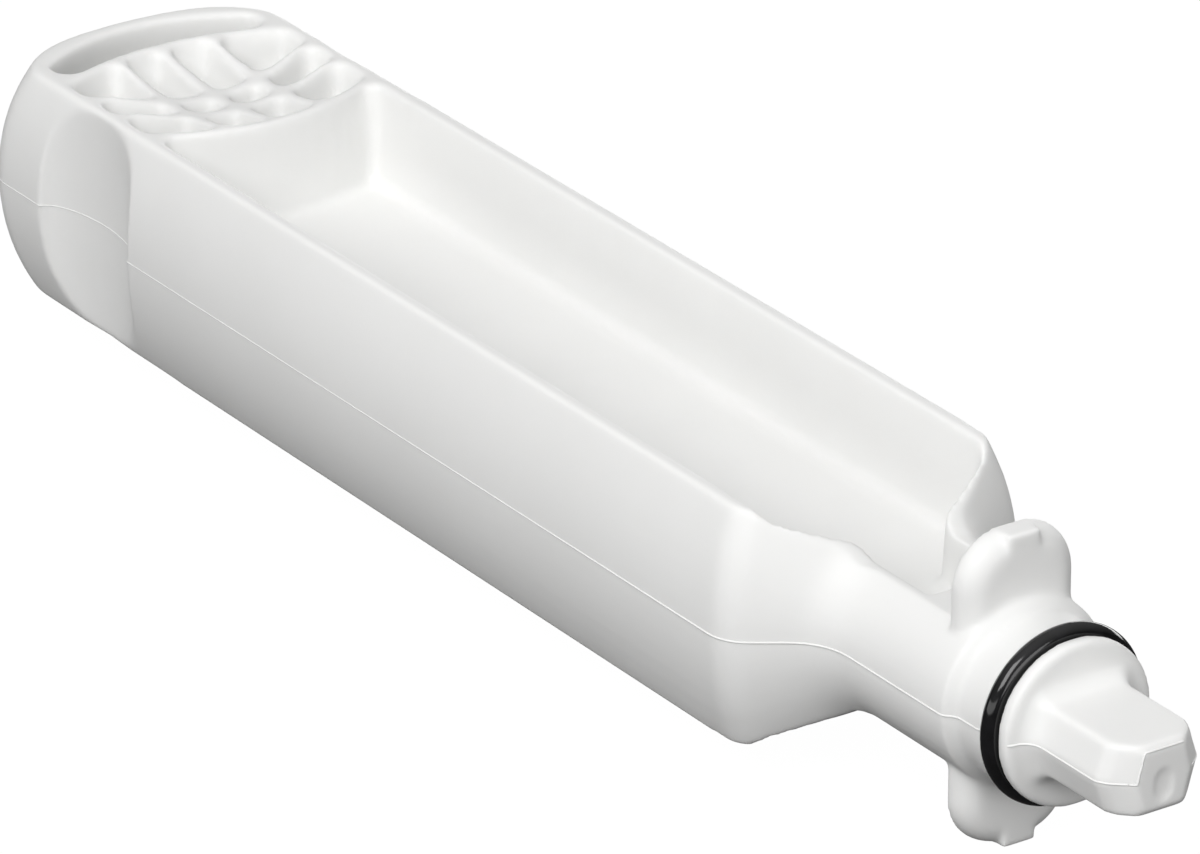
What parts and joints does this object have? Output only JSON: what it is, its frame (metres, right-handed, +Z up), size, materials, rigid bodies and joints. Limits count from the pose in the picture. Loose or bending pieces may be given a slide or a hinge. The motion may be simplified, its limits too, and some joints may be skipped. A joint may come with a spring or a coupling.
{
  "type": "fridge filter bypass plug",
  "caption": "Long double-trough plastic plug with a ribbed grip, bayonet ears and an O-ring nose that seals a fridge's water filter port.",
  "frame": {"origin": "on the plug's axis, at the front edge of the seal groove, where the seal land in front of it begins", "axes": "+X along the plug towards its nose, +Z up out of the upper trough, Y across; the parting plane is Z = 0"},
  "size_m": [0.248, 0.048, 0.0444],
  "materials": {
    "body": "satin white moulded plastic",
    "seal": "glossy black rubber"
  },
  "bodies": {
    "root": {"plug_body": "body", "o_ring": "seal"}
  },
  "joints": []
}
